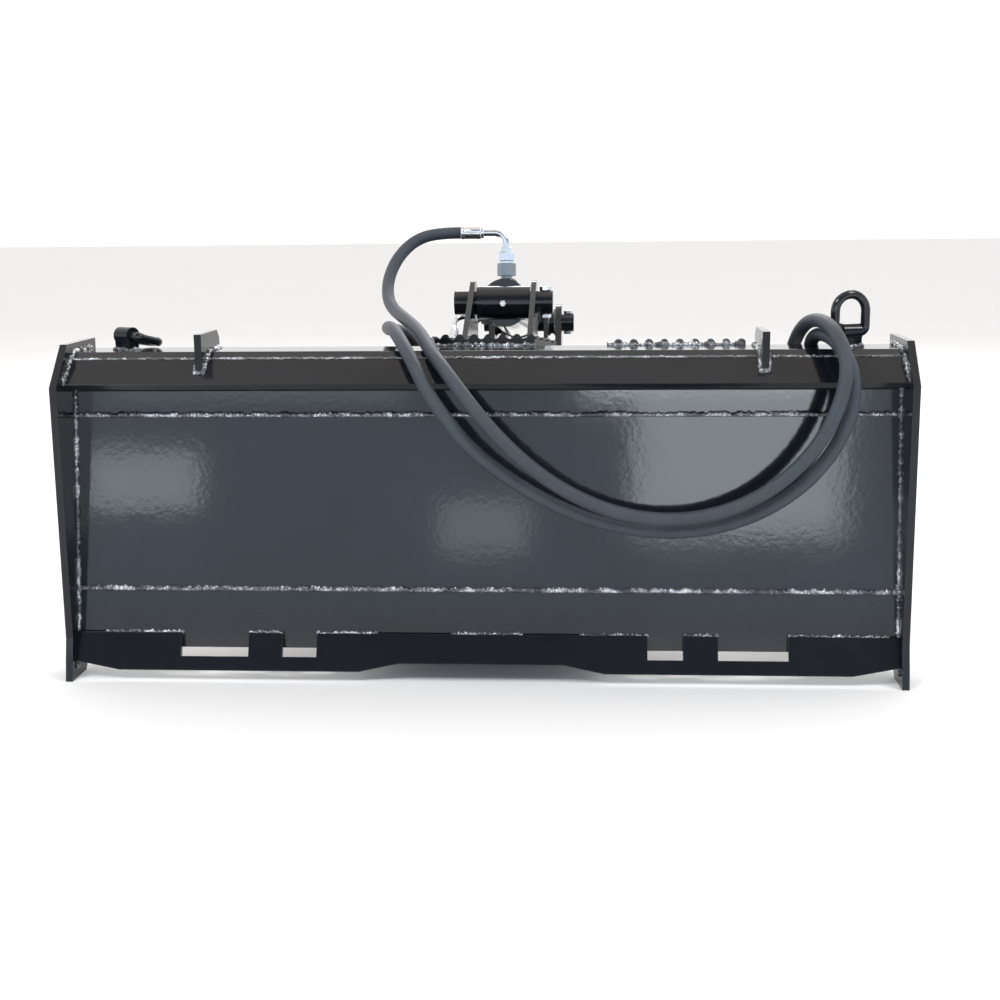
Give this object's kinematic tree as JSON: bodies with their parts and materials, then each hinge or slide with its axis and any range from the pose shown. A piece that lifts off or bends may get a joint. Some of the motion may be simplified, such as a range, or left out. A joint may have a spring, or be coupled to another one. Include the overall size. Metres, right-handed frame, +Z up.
{
  "type": "skid steer grapple bucket",
  "caption": "Narrow open bucket with a hydraulic grapple arm, on a wide quick-attach plate with hook lip, wedge notches, lifting rings and two hoses.",
  "frame": {"origin": "the quick-attach mount: on the ground, at the middle of the plate's width, in the plane of the end plates' rear edges", "axes": "+X to the right seen from the machine, +Y forward from the machine to the bucket's teeth, +Z up"},
  "size_m": [1.192, 1.3859, 0.6223],
  "materials": {
    "black_paint": "gloss black paint",
    "bare_edge_steel": "satin black paint, worn at the edges",
    "forged_steel": "black painted forging",
    "zinc_steel": "bright zinc plate",
    "phosphate_steel": "dark grey phosphate",
    "hard_chrome": "ground hard chrome",
    "bronze": "turned bronze",
    "grey_iron": "turned iron",
    "seal_rubber": "moulded seal",
    "hose_rubber": "cloth-marked matte rubber",
    "coupler_zinc": "zinc plate"
  },
  "bodies": {
    "bucket_and_plate": {"base_ear_left": "black_paint", "base_ear_right": "black_paint", "base_pin": "forged_steel", "base_pin_bolt": "zinc_steel", "bottom_flange": "black_paint", "bracket_deck": "black_paint", "bucket_floor": "black_paint", "bucket_side_left": "black_paint", "bucket_side_right": "black_paint", "bucket_teeth": "bare_edge_steel", "cheek_left": "black_paint", "cheek_right": "black_paint", "cutting_edge": "bare_edge_steel", "deck_ribs": "black_paint", "end_plate_left": "black_paint", "end_plate_right": "black_paint", "fin_left": "black_paint", "fin_right": "black_paint", "floor_skids": "black_paint", "outer_bars": "black_paint", "panel_lower_strip": "black_paint", "panel_main": "black_paint", "panel_upper_strip": "black_paint", "pivot_bosses": "black_paint", "pivot_pins": "forged_steel", "ring_clip_left": "black_paint", "ring_clip_right": "black_paint", "serrated_guard": "black_paint", "top_lip": "black_paint", "top_plate": "black_paint"},
    "cylinder_barrel_body": {"cylinder_barrel": "black_paint", "cross_tube": "black_paint", "gland": "black_paint", "rod_seal": "seal_rubber", "port_adapters": "phosphate_steel", "hose_end_base": "zinc_steel", "hose_end_rod": "zinc_steel", "hose_base": "hose_rubber", "hose_rod": "hose_rubber", "hose_couplers": "coupler_zinc", "grease_nipple": "zinc_steel"},
    "rod_body": {"piston_rod": "hard_chrome", "rod_eye": "black_paint", "piston": "grey_iron", "piston_nut": "zinc_steel", "piston_seals": "seal_rubber"},
    "grapple_arm": {"hub_tube": "black_paint", "pivot_bushes": "bronze", "arm_plate_left": "black_paint", "arm_plate_right": "black_paint", "clevis_plate_left": "black_paint", "clevis_plate_right": "black_paint", "lever_bosses": "black_paint", "rod_pin": "forged_steel", "rod_pin_bolt": "zinc_steel", "arm_braces": "black_paint", "claw_tips": "black_paint"},
    "ring_left_body": {"lift_ring_left": "forged_steel"},
    "ring_right_body": {"lift_ring_right": "forged_steel"}
  },
  "joints": [
    {"name": "arm_pivot", "type": "hinge", "parent": "bucket_and_plate", "child": "grapple_arm", "pos_m": [0, 0.95, 0.262], "axis": [1, 0, 0], "range_deg": [0, 45]},
    {"name": "barrel_swing", "type": "hinge", "parent": "bucket_and_plate", "child": "cylinder_barrel_body", "pos_m": [0.014, 0.38, 0.504], "axis": [1, 0, 0], "range_deg": [-0.7, 0.05]},
    {"name": "rod_slide", "type": "slide", "parent": "cylinder_barrel_body", "child": "rod_body", "axis": [0, 0.9925, -0.1225], "range_m": [-0.1366, 0.001]},
    {"name": "lift_ring_left", "type": "hinge", "parent": "bucket_and_plate", "child": "ring_left_body", "pos_m": [-0.51, 0.114, 0.476], "axis": [0.848, -0.5299, 0], "range_deg": [0, 200]},
    {"name": "lift_ring_right", "type": "hinge", "parent": "bucket_and_plate", "child": "ring_right_body", "pos_m": [0.51, 0.114, 0.476], "axis": [0.9563, 0.2924, 0], "range_deg": [-68, 12]}
  ],
  "couplings": [
    {"joint": "barrel_swing", "follows": "arm_pivot", "ratio": -0.013506},
    {"joint": "rod_slide", "follows": "arm_pivot", "m_per_rad": -0.17267}
  ]
}
